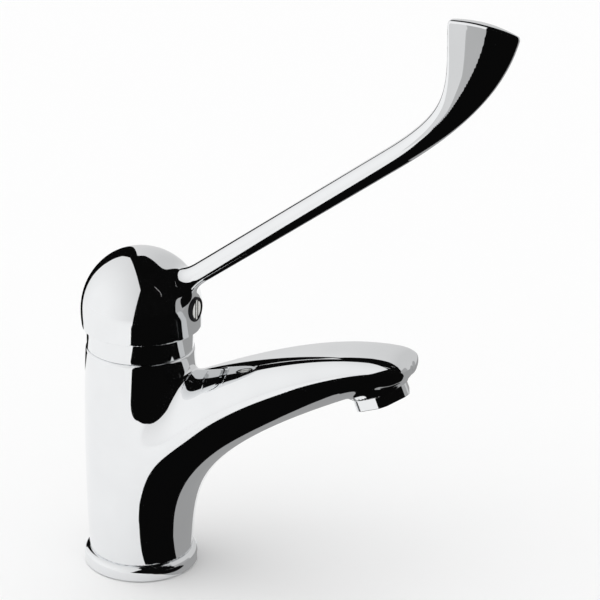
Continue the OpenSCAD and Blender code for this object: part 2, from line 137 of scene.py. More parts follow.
# moves each point towards the mean of its neighbours
def evenOut(p, quads, amount):
    start = quads.ravel()
    end = np.roll(quads, -1, axis=1).ravel()
    count = np.bincount(start, minlength=len(p))
    mean = np.stack([np.bincount(start, p[end, k], len(p)) for k in range(3)], 1) / count[:, None]
    return p + amount * (mean - p)


# a closed skin where field(x, y, z) is zero, meshed on a grid and pulled exactly onto the surface
def skinOf(name, field, low, high, step):
    axes = [np.arange(a, b + step, step) for a, b in zip(low, high)]
    x, y, z = np.meshgrid(*axes, indexing="ij", sparse=True)
    band = 3 * step
    grid = openvdb.FloatGrid(background=band)
    grid.copyFromArray(np.clip(field(x, y, z), -band, band).astype(np.float32))
    points, quads = grid.convertToQuads(isovalue=0)
    p = points.astype(float) * step + np.array(low, float)
    quads = quads.astype(int)
    p = settleOn(field, p, 3)
    for _ in range(3):
        p = settleOn(field, evenOut(p, quads, 0.5), 1)
    p = settleOn(field, p, 2)
    a, b, c = p[quads[:, 0]], p[quads[:, 1]], p[quads[:, 2]]
    if (np.cross(b - a, c - a) * slopeOf(field, a)).sum() < 0:
        quads = quads[:, ::-1]
    mesh = bpy.data.meshes.new(name)
    mesh.from_pydata((p * mm).tolist(), [], quads.tolist())
    piece = bpy.data.objects.new(name, mesh)
    bpy.context.scene.collection.objects.link(piece)
    return piece


def cutAway(piece, *tools):
    for tool in tools:
        cut = piece.modifiers.new("cut", "BOOLEAN")
        cut.operation = "DIFFERENCE"
        cut.solver = "MANIFOLD"
        cut.object = tool
    bakeModifiers(piece)
    for tool in tools:
        bpy.data.objects.remove(tool)


def bakeModifiers(piece):
    ready = piece.evaluated_get(bpy.context.evaluated_depsgraph_get())
    mesh = bpy.data.meshes.new_from_object(ready)
    piece.modifiers.clear()
    piece.data = mesh


def smoothByAngle(piece, degrees=40):
    piece.data.shade_smooth()
    piece.data.set_sharp_from_angle(angle=math.radians(degrees))


# skin faces take the surface's own normals, cut faces keep theirs
def polishNormals(piece, field, sharpAngle=35, nearSkin=0.03, agreement=0.6):
    mesh = piece.data
    smoothByAngle(piece, sharpAngle)
    p = np.empty(len(mesh.vertices) * 3)
    mesh.vertices.foreach_get("co", p)
    p = p.reshape(-1, 3) / mm
    away = np.abs(field(*p.T))
    g = slopeOf(field, p)
    g /= np.maximum(np.linalg.norm(g, axis=1), tiny)[:, None]
    corner = np.empty(len(mesh.loops), int)
    mesh.loops.foreach_get("vertex_index", corner)
    normals = np.empty(len(mesh.loops) * 3)
    mesh.corner_normals.foreach_get("vector", normals)
    normals = normals.reshape(-1, 3)
    faceNormals = np.empty(len(mesh.polygons) * 3)
    mesh.polygon_normals.foreach_get("vector", faceNormals)
    faceOf = np.repeat(np.arange(len(mesh.polygons)), [f.loop_total for f in mesh.polygons])
    agrees = (faceNormals.reshape(-1, 3)[faceOf] * g[corner]).sum(1)
    onSkin = (away[corner] < nearSkin) & (agrees > agreement)
    whole = np.bincount(faceOf, ~onSkin) == 0
    normals = np.where(whole[faceOf][:, None], g[corner], normals)
    mesh.normals_split_custom_set(normals.tolist())


def newPiece(name, work):
    mesh = bpy.data.meshes.new(name)
    work.to_mesh(mesh)
    work.free()
    piece = bpy.data.objects.new(name, mesh)
    bpy.context.scene.collection.objects.link(piece)
    return piece


# faces between two rings of points, which may close to one point
def joinRings(work, low, high):
    for i in range(len(low)):
        k = (i + 1) % len(low)
        corners = list(dict.fromkeys((low[i], low[k], high[k], high[i])))
        if len(corners) > 2:
            work.faces.new(corners)


# rounds the edges that turn by more than an angle
def softenEdges(piece, width, segments, angle):
    soften = piece.modifiers.new("edges", "BEVEL")
    soften.limit_method = "ANGLE"
    soften.angle_limit = math.radians(angle)
    soften.width = width * mm
    soften.segments = segments
    soften.harden_normals = True
    piece.data.shade_smooth()
    bakeModifiers(piece)


# closed ring or disc from an outline of (radius, height) points, turned round the z axis
def turned(name, outline, sides=192, place=Matrix.Identity(4)):
    work = bmesh.new()
    rings = []
    for r, z in outline:
        if r < tiny:
            rings.append([work.verts.new((0, 0, z * mm))] * sides)
            continue
        ring = []
        for i in range(sides):
            c, s = direction(360 * i / sides)
            ring.append(work.verts.new((r * c * mm, r * s * mm, z * mm)))
        rings.append(ring)
    if outline[0][0] > tiny or outline[-1][0] > tiny:
        rings.append(rings[0])
    for low, high in zip(rings, rings[1:]):
        joinRings(work, low, high)
    bmesh.ops.recalc_face_normals(work, faces=work.faces)
    work.transform(place)
    return newPiece(name, work)


# outline with its corners rounded: points are (r, z, corner radius)
def eased(points, steps=6):
    outline = []
    for i, (x, z, radius) in enumerate(points):
        here = np.array([x, z])
        before, after = (np.array(points[k % len(points)][:2]) - here for k in (i - 1, i + 1))
        before, after = before / np.linalg.norm(before), after / np.linalg.norm(after)
        if radius == 0:
            outline.append((x, z))
            continue
        turn = math.acos(max(-1, min(1, before @ after)))
        back = radius / math.tan(turn / 2)
        start, end = here + before * back, here + after * back
        centre = here + (before + after) / np.linalg.norm(before + after) * radius / math.sin(turn / 2)
        a, b = start - centre, end - centre
        sweep = math.acos(max(-1, min(1, a @ b / radius ** 2)))
        for j in range(steps + 1):
            t = j / steps
            p = centre + (math.sin((1 - t) * sweep) * a + math.sin(t * sweep) * b) / math.sin(sweep)
            outline.append((p[0], p[1]))
    return outline


def rod(name, radius, start, end, sides=64):
    a, b = Vector(start) * mm, Vector(end) * mm
    work = bmesh.new()
    bmesh.ops.create_cone(work, cap_ends=True, segments=sides, radius1=radius * mm, radius2=radius * mm,
                          depth=(b - a).length)
    turn = (b - a).to_track_quat("Z", "Y").to_matrix().to_4x4()
    work.transform(Matrix.Translation((a + b) / 2) @ turn)
    return newPiece(name, work)


# a number is set on an input, an output is linked to it
def feed(tree, node, *sources):
    for socket, source in zip(node.inputs, sources):
        if isinstance(source, (int, float)):
            socket.default_value = source
        else:
            tree.links.new(source, socket)


def maths(tree, operation, a, b):
    fresh = tree.nodes.new("ShaderNodeMath")
    fresh.operation = operation
    feed(tree, fresh, a, b)
    return fresh.outputs[0]


# body casting: column and swept spout in one skin

tapBody = {
    "step": 0.72,
    "boxLow": (-26, -26, -2), "boxHigh": (128, 26, 122),
    "baseTop": 6.8, "top": 101.8, "spigotRadius": 19.5, "spigotRise": 4, "edge": 0.8, "topEdge": 1.6,
    "footRadius": 22.6, "bellyRadius": 24.2, "bellyAt": 66, "topRadius": 23.4,
    "reach": 110, "outletAt": 102.7, "outletTilt": 23, "bossRadius": 12.8, "bossBlend": 2,
    "tipHeight": 13, "tipRun": 11.2, "tipLean": 14, "noseOut": 2.6, "noseRound": 1.5, "noseBlend": 13,
    # guide curves of the spout, and how much of its length each bend takes
    "underFootIn": 1.6, "underFootPull": 44, "underRun": 13, "underPull": 68, "underLean": 5,
    "underShare": 0.84,
    "crownDrop": 14.5, "crownOut": 21.8, "crownRise": 2.8, "crownEndPull": (36, -3.4),
    "bendBulge": 0.9, "bendFootPull": 50, "bendReach": 0.53, "bendShare": 0.34,
    # width along the spout
    "spoutWidth": 26.6, "rootWidth": 47.8, "rootAt": 14, "widening": 1.15, "shoulderSlim": 0.28,
    "flankRise": 0.2, "leastBlend": 0.8, "rootBlend": 7.4, "sideBlend": 6,
    # what is cut out
    "chamberRadius": 17.56, "chamberFloor": 66, "nutRadius": 19.46, "nutFloor": 91.6,
    "seatRadius": 10.96, "seatDepth": 8.26, "studRadius": 3.3, "studAt": -11, "studDeep": 18,
    "hoseRadius": 4.45, "hoseAt": (4.5, 8.5), "hoseDeep": 14, "wayRadius": 3, "wayTop": 70,
}
outletPoint = np.array([tapBody["reach"], tapBody["outletAt"]])
outletAlong = direction(tapBody["outletTilt"])
outletUp = np.array([-outletAlong[1], outletAlong[0]])
tipLow = outletPoint + tapBody["tipRun"] * outletAlong
tipUp = tipLow + tapBody["tipHeight"] * direction(90 - tapBody["tipLean"])
underEnd = outletPoint - tapBody["underRun"] * outletAlong
underCurve = [(tapBody["footRadius"], tapBody["baseTop"]),
              (tapBody["footRadius"] - tapBody["underFootIn"], tapBody["underFootPull"]),
              underEnd - tapBody["underPull"] * direction(tapBody["outletTilt"] + tapBody["underLean"]),
              underEnd]
crownStart = np.array([tapBody["bellyRadius"] / 2, tapBody["top"] - tapBody["crownDrop"]])
crownAim = np.array([tapBody["bellyRadius"] + tapBody["crownOut"], tapBody["top"] + tapBody["crownRise"]])
crownCurve = [crownStart, crownAim, tipUp - np.array(tapBody["crownEndPull"]), tipUp]
# the column bends over into the spout like a tube; this is the outside of the bend, within the column
bendCurve = [(-tapBody["footRadius"], tapBody["baseTop"]),
             (-tapBody["footRadius"] - tapBody["bendBulge"], tapBody["bendFootPull"]),
             crownStart - tapBody["bendReach"] * (crownAim - crownStart), crownStart]


def spoutTop(s):
    share = tapBody["bendShare"]
    bend = curveAt(bendCurve, np.minimum(s / share, 1))
    crown = curveAt(crownCurve, np.maximum(s - share, 0) / (1 - share))
    return [np.where(s < share, bend[k], crown[k]) for k in (0, 1)]


def spoutUnder(s):
    share = tapBody["underShare"]
    bend = curveAt(underCurve, np.minimum(s / share, 1))
    past = np.maximum(s - share, 0) / (1 - share)
    return [bend[k] + past * (tipLow[k] - underEnd[k]) for k in (0, 1)]


def columnField(x, y, z):
    b = tapBody
    below = np.maximum(b["bellyAt"] - z, 0) / (b["bellyAt"] - b["baseTop"])
    above = np.maximum(z - b["bellyAt"], 0) / (b["top"] - b["bellyAt"])
    radius = (b["bellyRadius"] - (b["bellyRadius"] - b["footRadius"]) * below ** 2
              - (b["bellyRadius"] - b["topRadius"]) * above ** 2)
    return np.hypot(x, y) - radius


def spoutField(x, y, z):
    b = tapBody
    s = sectionThrough(x, z, spoutTop, spoutUnder)
    top, under = spoutTop(s), spoutUnder(s)
    u, halfU = placeOnSection(x, z, top, under)
    # length left to the tip, from 1 at the root to 0
    left = (tipLow[0] - (top[0] + under[0]) / 2) / (tipLow[0] - b["rootAt"])
    left = np.maximum(smoothMin(left, 1, 0.3), 0)
    halfW = (b["spoutWidth"] + (b["rootWidth"] - b["spoutWidth"]) * left ** b["widening"]) / 2
    halfW = halfW * (0.97 + 0.03 * rise(0, 0.12, s))  # the tube's foot hides in the column
    halfW = halfW * (1 - b["shoulderSlim"] * left ** 4 * rise(10, 26, x) * rise(-0.2, 0.6, u))
    w = y / halfW
    # an ellipse below, squarer above and towards the tip
    power = 2 + 0.5 * (1 - left) + (1 - 1.5 * left) * rise(-0.5, 0.6, u)
    # the flank is widest a little above its middle
    raised = b["flankRise"] * rise(0.1, 0.56, s) * (1 - rise(0.7, 0.95, s)) * (1 - rise(-0.1, 0.6, u))
    v = u - raised * np.maximum(1 - u * u, 0) ** 2
    side = roundedSection(v, w, halfU, halfW, power)
    nose = pastLine(x, z, tipUp, tipLow) - b["noseOut"] + b["noseRound"] * (u * u + w * w)
    side = smoothMax(side, nose, b["noseBlend"])
    # the blend into the column grows up the bend and out to the sides
    blend = b["leastBlend"] + (b["rootBlend"] + b["sideBlend"] * rise(6, 20, np.abs(y))) * rise(0, 0.4, s)
    return side, blend


def bossField(x, y, z):
    along = (x - outletPoint[0]) * outletAlong[0] + (z - outletPoint[1]) * outletAlong[1]
    up = (x - outletPoint[0]) * outletUp[0] + (z - outletPoint[1]) * outletUp[1]
    wall = np.hypot(along, y) - tapBody["bossRadius"]
    edge = tapBody["edge"]
    return smoothMax(smoothMax(wall, -up, edge), up - tapBody["seatDepth"], edge)


def bodyField(x, y, z):
    b = tapBody
    spout, blend = spoutField(x, y, z)
    whole = smoothMin(columnField(x, y, z), spout, blend)
    whole = smoothMin(whole, bossField(x, y, z), b["bossBlend"])
    out = np.hypot(x, y)
    # level across the neck, and clear of the spout outside it
    cap = z - b["top"] - 1.5 * np.maximum(out - b["topRadius"] - 0.6, 0)
    whole = smoothMax(whole, cap, b["topEdge"])
    whole = smoothMax(whole, b["baseTop"] - z, b["edge"])
    spigotEnds = np.maximum(-z, z - b["baseTop"] - b["spigotRise"])
    spigot = smoothMax(out - b["spigotRadius"], spigotEnds, b["edge"])
    return np.minimum(whole, spigot)


def makeBody():
    b = tapBody
    piece = skinOf("tapBody", bodyField, b["boxLow"], b["boxHigh"], b["step"])
    seat = outletPoint + b["seatDepth"] * outletUp
    mouth = outletPoint - 6 * outletUp
    # cutters run past the faces they open
    tools = [rod("chamber", b["chamberRadius"], (0, 0, b["chamberFloor"]), (0, 0, b["top"] + 8)),
             rod("nutSeat", b["nutRadius"], (0, 0, b["nutFloor"]), (0, 0, b["top"] + 9)),
             rod("outletSeat", b["seatRadius"], (mouth[0], 0, mouth[1]), (seat[0], 0, seat[1])),
             rod("studHole", b["studRadius"], (b["studAt"], 0, -2), (b["studAt"], 0, b["studDeep"]))]
    hoseX, hoseY = b["hoseAt"]
    for y in (-hoseY, hoseY):
        tools.append(rod("hoseThread", b["hoseRadius"], (hoseX, y, -3), (hoseX, y, b["hoseDeep"])))
        tools.append(rod("inletWay", b["wayRadius"], (hoseX, y, b["hoseDeep"] - 4), (hoseX, y, b["wayTop"])))
    cutAway(piece, *tools)
    polishNormals(piece, bodyField)
    return piece


# lever: dome, arm and blade in one skin

lever = {
    "step": 0.66,
    "boxLow": (-28, -28, 109), "boxHigh": (168, 28, 267),
    "domeRadius": 26.3, "domeLow": 111.7, "domeSide": 8.8, "domeRise": 25, "domeEdge": 1, "wall": 2.9,
    "reliefRadius": 30, "reliefX": 5, "reliefZ": 7, "reliefBlend": 3, "bossRadius": 9.5, "bossLow": 5.2,
    "plugRadius": 5.36, "plugAt": 11, "grubRadius": 3.01,
    "armAngle": 37, "armFoot": 6.7, "armRoot": 10, "armWidth": 8.8, "blend": 11,
    "elbowWidth": 9.5, "elbowX": 112,
    "bladeRise": 58.5, "bladeOut": 21.2, "bladeWidth": 29.2, "bladeFall": 6.8,
    "bladeThick": 8.4, "endThick": 4.2, "bladeTaper": 0.68, "rearTaper": 0.25,
    "endOut": 3.3, "endRound": 1.7, "endBlend": 2.4,
    # pulls of the blade's two edge curves, as shares of its rise, and how far their ends lean
    "rearPull": 0.62, "rearEndPull": 0.42, "rearEndLean": -0.6,
    "frontPull": 0.55, "frontEndPull": 0.37, "frontEndLean": 5.4,
}
armAlong = direction(lever["armAngle"])
armOut = np.array([-armAlong[1], armAlong[0]])
armStart = np.array([0, lever["domeLow"] + lever["armFoot"]])
armLength = lever["elbowX"] / armAlong[0]
elbow = armStart + armLength * armAlong
rearEnd = elbow + np.array([lever["bladeOut"], lever["bladeRise"]])
frontEnd = rearEnd + lever["bladeWidth"] * direction(-lever["bladeFall"])
rearStart = elbow + lever["elbowWidth"] / 2 * armOut
frontStart = elbow - lever["elbowWidth"] / 2 * armOut
rearCurve = [rearStart, rearStart + lever["rearPull"] * lever["bladeRise"] * armAlong,
             rearEnd - np.array([lever["rearEndLean"], lever["rearEndPull"] * lever["bladeRise"]]),
             rearEnd]
frontCurve = [frontStart, frontStart + lever["frontPull"] * lever["bladeRise"] * armAlong,
              frontEnd - np.array([lever["frontEndLean"], lever["frontEndPull"] * lever["bladeRise"]]),
              frontEnd]


def bladeRear(s):
    return curveAt(rearCurve, s)


def bladeFront(s):
    return curveAt(frontCurve, s)


def domeField(x, y, z):
    b = lever
    out = np.hypot(x, y)
    high = np.maximum(z - b["domeLow"] - b["domeSide"], 0)
    spread = np.hypot(out / b["domeRadius"], high / b["domeRise"]) + tiny
    ball = np.hypot(out, high) / spread * (spread - 1)
    # a larger ball, set forward, trims the back
    relief = np.sqrt((x - b["reliefX"]) ** 2 + y * y + (z - b["domeLow"] - b["reliefZ"]) ** 2)
    whole = smoothMax(ball, relief - b["reliefRadius"], b["reliefBlend"])
    return smoothMax(whole, b["domeLow"] - z, b["domeEdge"])


def armField(x, y, z):
    b = lever
    along = (x - armStart[0]) * armAlong[0] + (z - armStart[1]) * armAlong[1]
    out = (x - armStart[0]) * armOut[0] + (z - armStart[1]) * armOut[1]
    share = np.clip(along / armLength, 0, 1.2)
    radius = (b["armWidth"] + (b["elbowWidth"] - b["armWidth"]) * share) / 2
    return smoothMax(np.hypot(out, y) - radius, b["armRoot"] - along, 2)


def bladeField(x, y, z):
    b = lever
    s = sectionThrough(x, z, bladeRear, bladeFront)
    u, halfU = placeOnSection(x, z, bladeRear(s), bladeFront(s))
    thick = (b["elbowWidth"] + (b["bladeThick"] - b["elbowWidth"]) * rise(0, 0.6, s)) / 2
    thick = thick - (b["bladeThick"] - b["endThick"]) / 2 * rise(0.45, 1.1, s)
    bar = roundedSection(u, y / thick, halfU, thick, 2)
    # thickest along a ridge near the middle, thinning a little to the rear and more to the front
    ridge = 0.05 - 0.17 * rise(0.5, 1, s)
    back = 1 - b["rearTaper"] * np.maximum((u - ridge) / (1 - ridge), 0) ** 2
    drop = (ridge - u) / (1 + ridge)
    front = 1 - b["bladeTaper"] * np.sign(drop) * np.abs(drop) ** 0.9
    width = thick * smoothMin(back, front, 0.06)
    flat = np.sqrt(y * y + 0.16) - 0.4 - width  # no crease at y 0
    sheet = smoothMax(flat, (np.abs(u) - 1) * halfU, np.clip(0.95 * width, 0.6, 5))
    # a round bar at the elbow, a sheet beyond it
    side = bar + (sheet - bar) * rise(0.05, 0.6, s)
    end = pastLine(x, z, rearEnd, frontEnd) - b["endOut"] + b["endRound"] * u * u
    return smoothMax(side, end, b["endBlend"])


def leverField(x, y, z):
    pastElbow = (x - elbow[0]) * armAlong[0] + (z - elbow[1]) * armAlong[1]
    bar = np.where(pastElbow > 0, bladeField(x, y, z), armField(x, y, z))
    return smoothMin(domeField(x, y, z), bar, lever["blend"])


def makeLever():
    b = lever
    piece = skinOf("leverHandle", leverField, b["boxLow"], b["boxHigh"], b["step"])
    inner = b["domeRadius"] - b["wall"]
    mid = b["domeLow"] + b["domeSide"]
    tall = b["domeRise"] - b["wall"]
    arc = []
    steps = 24
    for i in range(steps + 1):
        c, s = direction(90 * i / steps)
        if inner * c > b["bossRadius"]:
            arc.append((inner * c, mid + tall * s))
    last = math.sqrt(1 - (b["bossRadius"] / inner) ** 2)
    outline = [(0, b["domeLow"] - 3), (inner, b["domeLow"] - 3)] + arc
    outline += [(b["bossRadius"], mid + tall * last), (b["bossRadius"], b["domeLow"] + b["bossLow"]),
                (0, b["domeLow"] + b["bossLow"])]
    front, level = b["domeRadius"], b["domeLow"] + b["plugAt"]
    tools = [turned("hollow", outline, 128),
             rod("plugSeat", b["plugRadius"], (front - 2, 0, level), (front + 4, 0, level)),
             rod("grubHole", b["grubRadius"], (0, 0, level), (front, 0, level))]
    cutAway(piece, *tools)
    polishNormals(piece, leverField)
    return piece


# rings at the foot and the neck

neckRing = {"outer": 22.9, "bore": 20.3, "eye": 15.5, "low": 101.8, "top": 113, "lip": 2.4,
            "upperEdge": 1.6, "lowerEdge": 0.35, "eyeEdge": 0.3, "lipEdge": 0.4, "fineEdge": 0.2}
baseRing = {"outer": 25, "bore": 19.56, "top": 6.8, "grooveAt": 22.25, "grooveHalf": 1.36, "grooveDeep": 2,
            "upperEdge": 2.7, "lowerEdge": 1, "boreEdge": 0.3, "fineEdge": 0.2}


def makeNeckRing():
    b = neckRing
    lipLow, fine = b["top"] - b["lip"], b["fineEdge"]
    outline = eased([(b["bore"], b["low"], fine), (b["outer"], b["low"], b["lowerEdge"]),
                     (b["outer"], b["top"], b["upperEdge"]), (b["eye"], b["top"], b["eyeEdge"]),
                     (b["eye"], lipLow, fine), (b["bore"], lipLow, b["lipEdge"])])
    return turned("neckRing", outline)


def makeBaseRing():
    b = baseRing
    inner, outer = b["grooveAt"] - b["grooveHalf"], b["grooveAt"] + b["grooveHalf"]
    deep, fine = b["grooveDeep"], b["fineEdge"]
    outline = eased([(b["bore"], 0, fine), (inner, 0, fine), (inner, deep, fine), (outer, deep, fine),
                     (outer, 0, fine), (b["outer"], 0, b["lowerEdge"]),
                     (b["outer"], b["top"], b["upperEdge"]), (b["bore"], b["top"], b["boreEdge"])], 10)
    return turned("baseRing", outline, 256)


# aerator: collar with six flats, and a woven screen above its mouth

aerator = {"collar": 12.3, "acrossFlats": 22.9, "flatsTurn": 23, "height": 5, "edge": 0.3,
           "thread": 10.9, "threadLength": 6.6, "bore": 9.3, "mouth": 8.5, "lip": 1,
           "screenRadius": 9.2, "wire": 0.2, "wirePitch": 1.15, "wires": 15, "screenLow": 3.6,
           "layerGap": 1.8, "rimRoll": 1.6}  # these two in wire radii
atOutlet = (Matrix.Translation((outletPoint[0] * mm, 0, outletPoint[1] * mm))
            @ Matrix.Rotation(-math.radians(tapBody["outletTilt"]), 4, "Y"))


def collarAngles():
    reach = math.degrees(math.acos(aerator["acrossFlats"] / 2 / aerator["collar"]))
    angles = []
    for flat in range(6):
        middle = flat * 60 + aerator["flatsTurn"]
        angles += [middle + reach * k / 4 for k in range(-4, 5)]
        angles += [middle + reach + (60 - 2 * reach) * k / 5 for k in range(1, 5)]
    return angles


def collarRadius(angle):
    fromFlat = (angle - aerator["flatsTurn"] + 30) % 60 - 30
    return min(aerator["collar"], aerator["acrossFlats"] / 2 / math.cos(math.radians(fromFlat)))


def makeAerator():
    b = aerator
    work = bmesh.new()
    rings = []
    for r, z in ((0, -b["height"]), (0, 0), (b["thread"], 0), (b["thread"], b["threadLength"]),
                 (b["bore"], b["threadLength"]), (b["bore"], b["lip"] - b["height"]),
                 (b["mouth"], b["lip"] - b["height"]), (b["mouth"], -b["height"])):
        ring = []
        for angle in collarAngles():
            c, s = direction(angle) * (r or collarRadius(angle)) * mm
            ring.append(work.verts.new((c, s, z * mm)))
        rings.append(ring)
    for low, high in zip(rings, rings[1:] + rings[:1]):
        joinRings(work, low, high)
    bmesh.ops.recalc_face_normals(work, faces=work.faces)
    work.transform(atOutlet)
    piece = newPiece("aeratorHousing", work)
    softenEdges(piece, b["edge"], 3, 15)
    return piece


# two layers of round wires, each cut to the width of the disc, and a rolled rim
def screenTree():
    tree = bpy.data.node_groups.new("wovenScreen", "GeometryNodeTree")
    sockets = {"Radius": "Float", "Wire": "Float", "Pitch": "Float", "Wires": "Int", "Place": "Vector",
               "Turn": "Rotation", "Finish": "Material"}
    for name, kind in sockets.items():
        tree.interface.new_socket(name, in_out="INPUT", socket_type="NodeSocket" + kind)
    tree.interface.new_socket("Screen", in_out="OUTPUT", socket_type="NodeSocketGeometry")
    given = tree.nodes.new("NodeGroupInput")
    done = tree.nodes.new("NodeGroupOutput")

    def link(a, out, b, into):
        tree.links.new(a.outputs[out], b.inputs[into])

    def vector(x, y, z):
        fresh = tree.nodes.new("ShaderNodeCombineXYZ")
        feed(tree, fresh, x, y, z)
        return fresh

    radius, wireRadius, pitch, wires = (given.outputs[name] for name in ("Radius", "Wire", "Pitch", "Wires"))
    span = maths(tree, "MULTIPLY", pitch, maths(tree, "SUBTRACT", wires, 1))
    row = tree.nodes.new("GeometryNodeMeshLine")
    row.mode = "OFFSET"
    link(given, "Wires", row, "Count")
    link(vector(maths(tree, "MULTIPLY", span, -0.5), 0, 0), 0, row, "Start Location")
    link(vector(pitch, 0, 0), 0, row, "Offset")
    wire = tree.nodes.new("GeometryNodeMeshCylinder")
    wire.inputs["Vertices"].default_value = 8
    wire.inputs["Depth"].default_value = 2 * mm
    link(given, "Wire", wire, "Radius")
    # each wire as long as the disc is wide there
    spot = tree.nodes.new("GeometryNodeInputPosition")
    split = tree.nodes.new("ShaderNodeSeparateXYZ")
    link(spot, 0, split, 0)
    across = split.outputs[0]
    left = maths(tree, "SUBTRACT", maths(tree, "MULTIPLY", radius, radius),
                 maths(tree, "MULTIPLY", across, across))
    length = maths(tree, "DIVIDE", maths(tree, "SQRT", maths(tree, "MAXIMUM", left, 0), 0), mm)
    spread = tree.nodes.new("GeometryNodeInstanceOnPoints")
    link(row, 0, spread, "Points")
    link(wire, 0, spread, "Instance")
    spread.inputs["Rotation"].default_value = (math.pi / 2, 0, 0)
    link(vector(1, 1, length), 0, spread, "Scale")
    cross = tree.nodes.new("GeometryNodeTransform")
    cross.inputs["Rotation"].default_value = (0, 0, math.pi / 2)
    link(spread, 0, cross, 0)
    link(vector(0, 0, maths(tree, "MULTIPLY", wireRadius, aerator["layerGap"])), 0, cross, "Translation")
    ring = tree.nodes.new("GeometryNodeCurvePrimitiveCircle")
    ring.inputs["Resolution"].default_value = 96
    link(given, "Radius", ring, "Radius")
    roll = tree.nodes.new("GeometryNodeCurvePrimitiveCircle")
    roll.inputs["Resolution"].default_value = 12
    tree.links.new(maths(tree, "MULTIPLY", wireRadius, aerator["rimRoll"]), roll.inputs["Radius"])
    rim = tree.nodes.new("GeometryNodeCurveToMesh")
    link(ring, 0, rim, 0)
    link(roll, 0, rim, 1)
    join = tree.nodes.new("GeometryNodeJoinGeometry")
    for part in (spread, cross, rim):
        link(part, 0, join, 0)
    seat = tree.nodes.new("GeometryNodeTransform")
    link(join, 0, seat, 0)
    link(given, "Place", seat, "Translation")
    link(given, "Turn", seat, "Rotation")
    real = tree.nodes.new("GeometryNodeRealizeInstances")
    link(seat, 0, real, 0)
    paint = tree.nodes.new("GeometryNodeSetMaterial")
    link(real, 0, paint, 0)
    link(given, "Finish", paint, "Material")
    link(paint, 0, done, 0)
    return tree


def makeScreen(finish):
    b = aerator
    mesh = bpy.data.meshes.new("aeratorScreen")
    piece = bpy.data.objects.new("aeratorScreen", mesh)
    bpy.context.scene.collection.objects.link(piece)
    weave = piece.modifiers.new("weave", "NODES")
    tree = screenTree()
    place = atOutlet @ Vector((0, 0, -b["screenLow"] * mm))
    values = {"Radius": (b["screenRadius"] - b["rimRoll"] * b["wire"]) * mm, "Wire": b["wire"] * mm,
              "Pitch": b["wirePitch"] * mm, "Wires": b["wires"], "Place": tuple(place),
              "Turn": (0, -math.radians(tapBody["outletTilt"]), 0), "Finish": finish}
    weave.node_group = tree
    for item in tree.interface.items_tree:
        if item.in_out == "INPUT":
            weave[item.identifier] = values[item.name]
    bakeModifiers(piece)
    piece.data.shade_smooth()
    return piece


# indicator plug: dark disc with a raised bar and two half moons

plug = {"face": 26.9, "back": 24.3, "radius": 5.3, "stub": 2.95, "stubBack": 21.4,
        "rim": 0.7, "rimSlope": 0.2, "dish": 0.4,
        "barHalf": 0.5, "barInset": 0.25, "moonRadius": 3.7, "moonGap": 1.5,
        "markHeight": 0.16, "markSunk": 0.05, "markEdge": 0.12}
facingOut = (Matrix.Translation((0, 0, (lever["domeLow"] + lever["plugAt"]) * mm))
             @ Matrix.Rotation(math.radians(90), 4, "Y"))


def makePlug():
    b = plug
    floor, rim = b["face"] - b["dish"], b["radius"] - b["rim"]
    outline = eased([(0, b["stubBack"], 0), (b["stub"], b["stubBack"], 0.3), (b["stub"], b["back"], 0.15),
                     (b["radius"], b["back"], 0.2), (b["radius"], b["face"], 0.45), (rim, b["face"], 0.15),
                     (rim - b["rimSlope"], floor, 0.15), (0, floor, 0)], 5)
    return turned("indicatorPlug", outline, 96, facingOut)


def makeMarks():
    b = plug
    half = b["barHalf"]
    tall = math.sqrt((b["radius"] - b["rim"] - b["barInset"]) ** 2 - half ** 2)
    shapes = [[(-tall, -half), (tall, -half), (tall, half), (-tall, half)]]
    chord = math.degrees(math.acos(b["moonGap"] / b["moonRadius"]))
    steps = 20
    for side in (90, 270):
        angles = [side - chord + 2 * chord * k / steps for k in range(steps + 1)]
        shapes.append([direction(angle) * b["moonRadius"] for angle in angles])
    work = bmesh.new()
    floor = b["face"] - b["dish"] - b["markSunk"]
    for shape in shapes:
        low = [work.verts.new((x * mm, y * mm, floor * mm)) for x, y in shape]
        high = [work.verts.new((x * mm, y * mm, (floor + b["markHeight"]) * mm)) for x, y in shape]
        work.faces.new(low[::-1])
        work.faces.new(high)
        joinRings(work, low, high)
    bmesh.ops.recalc_face_normals(work, faces=work.faces)
    work.transform(facingOut)
    piece = newPiece("indicatorMarks", work)
    softenEdges(piece, b["markEdge"], 2, 30)
    return piece


# finishes

finishes = {
    "chrome": {"colour": (0.86, 0.87, 0.88), "metal": 1, "rough": (0.02, 0.045), "grain": 900,
               "bump": 0.004},
    "brass": {"colour": (0.78, 0.6, 0.3), "metal": 1, "rough": (0.22, 0.4), "grain": 700, "bump": 0.12},
    "steel": {"colour": (0.62, 0.63, 0.65), "metal": 1, "rough": (0.2, 0.36), "grain": 1100, "bump": 0.1},
    "housing_plastic": {"colour": (0.86, 0.86, 0.83), "metal": 0, "rough": (0.42, 0.55), "grain": 1500,
                        "bump": 0.08},
    "guide_plastic": {"colour": (0.3, 0.32, 0.34), "metal": 0, "rough": (0.4, 0.55), "grain": 1500,
                      "bump": 0.08},
    "ceramic": {"colour": (0.92, 0.91, 0.88), "metal": 0, "rough": (0.12, 0.2), "grain": 2200, "bump": 0.02},
    "rubber": {"colour": (0.045, 0.045, 0.047), "metal": 0, "rough": (0.6, 0.78), "grain": 1300,
               "bump": 0.15},
    "plug_plastic": {"colour": (0.012, 0.012, 0.013), "metal": 0, "rough": (0.3, 0.4), "grain": 1800,
                     "bump": 0.03, "shine": 0.06},
}
# slow drift of tone over every finish, and the depth of its grain
wear = {"driftScale": 60, "darker": 0.96, "paler": 1.03, "grainDepth": 0.05}


